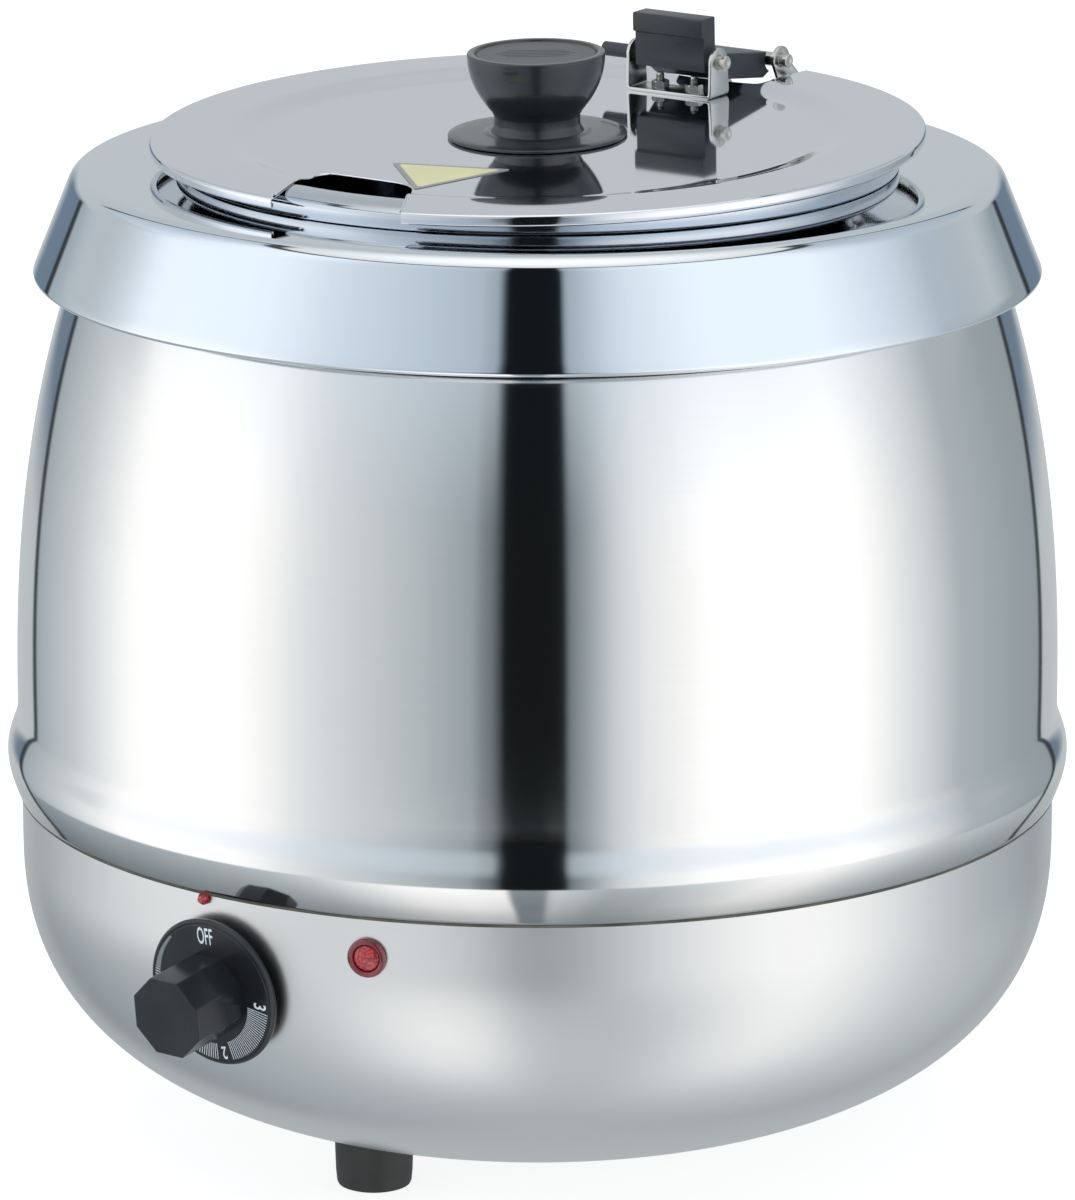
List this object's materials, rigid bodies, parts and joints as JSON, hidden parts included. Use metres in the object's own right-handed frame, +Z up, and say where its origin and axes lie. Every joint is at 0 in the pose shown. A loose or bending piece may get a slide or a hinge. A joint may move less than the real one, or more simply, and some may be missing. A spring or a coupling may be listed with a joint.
{
  "type": "electric soup kettle",
  "caption": "Round electric soup kettle with a lift-out pot, a hinged lid with a ladle notch, a thermostat dial and an indicator lamp.",
  "frame": {"origin": "centre of the round body, on the plane the feet stand on", "axes": "+Z up along the body's axis, -Y towards the thermostat dial and the ladle notch, +Y towards the lid's hinge and the cord gland"},
  "size_m": [0.3599, 0.392, 0.3721],
  "materials": {
    "shell_steel": "satin, brushed around the body",
    "bowl_steel": "fine satin, softly polished",
    "collar_chrome": "mirror bright",
    "well_steel": "plain mill finish",
    "pot_steel": "bright polished rim, satin inside",
    "lid_steel": "bright polished",
    "bakelite": "moulded, satin gloss",
    "hinge_plastic": "moulded, slightly scuffed",
    "dial_plastic": "moulded, printed scale",
    "label_film": "blank caution film with a grey border",
    "mineral_wool": "felted",
    "red_bezel": "clear deep red",
    "red_lens": "clear red, textured",
    "lamp_housing": "moulded",
    "thermostat_case": "dull",
    "ceramic": "unglazed",
    "copper": "drawn copper",
    "heater_sheath": "dark sheath",
    "foot_rubber": "moulded rubber",
    "gland_plastic": "moulded nylon",
    "hinge_steel": "bright sheet",
    "pin_steel": "turned",
    "zinc_plate": "zinc plated",
    "fastener": "zinc plated screws and nuts"
  },
  "bodies": {
    "body": {"outer_shell": "shell_steel", "base_bowl": "bowl_steel", "joint_ring": "fastener", "joint_ring_screws": "fastener", "top_collar": "collar_chrome", "collar_studs": "fastener", "collar_nuts": "fastener", "water_well": "well_steel", "insulation_jacket": "mineral_wool", "rear_hinge_pin": "pin_steel", "collar_bracket": "hinge_steel", "collar_bracket_screws": "fastener", "thermostat": "thermostat_case", "thermostat_nut": "fastener", "sensor_bulb": "copper", "sensor_clips": "fastener", "lamp_bezel": "red_bezel", "lamp_lens": "red_lens", "lamp_body": "lamp_housing", "lamp_clip": "fastener", "index_pin": "red_lens", "heater_ring": "heater_sheath", "heater_clamp": "fastener", "heater_stud": "fastener", "heater_nuts": "fastener", "thermal_cutout": "ceramic", "terminal_block": "ceramic", "cord_gland": "gland_plastic", "gland_nut": "gland_plastic", "base_plate": "zinc_plate", "base_plate_screws": "fastener", "foot_front": "foot_rubber", "foot_left": "foot_rubber", "foot_right": "foot_rubber", "foot_screws": "fastener"},
    "pot": {"soup_pot": "pot_steel"},
    "arm": {"hinge_arm": "hinge_plastic"},
    "lid": {"lid": "lid_steel", "lid_knob": "bakelite", "knob_guard": "bakelite", "knob_screw": "fastener", "lid_label": "label_film", "lid_bracket": "hinge_steel", "lid_bracket_screws": "fastener", "lid_bracket_nuts": "fastener", "front_hinge_pin": "pin_steel"},
    "dial": {"control_knob": "dial_plastic", "thermostat_shaft": "fastener"}
  },
  "joints": [
    {"name": "lid_hinge", "type": "hinge", "parent": "body", "child": "arm", "pos_m": [0, 0.119, 0.3522], "axis": [-1, 0, 0], "range_deg": [0, 95]},
    {"name": "lid_tilt", "type": "hinge", "parent": "arm", "child": "lid", "pos_m": [0, 0.08107, 0.35685], "axis": [-1, 0, 0], "range_deg": [0, 8]},
    {"name": "dial_turn", "type": "hinge", "parent": "body", "child": "dial", "pos_m": [0, -0.17476, 0.089], "axis": [0, 0.9943, 0.107], "range_deg": [0, 265]},
    {"name": "pot_turn", "type": "hinge", "parent": "body", "child": "pot", "pos_m": [0, 0, 0.3325], "axis": [0, 0, 1], "continuous": true}
  ]
}
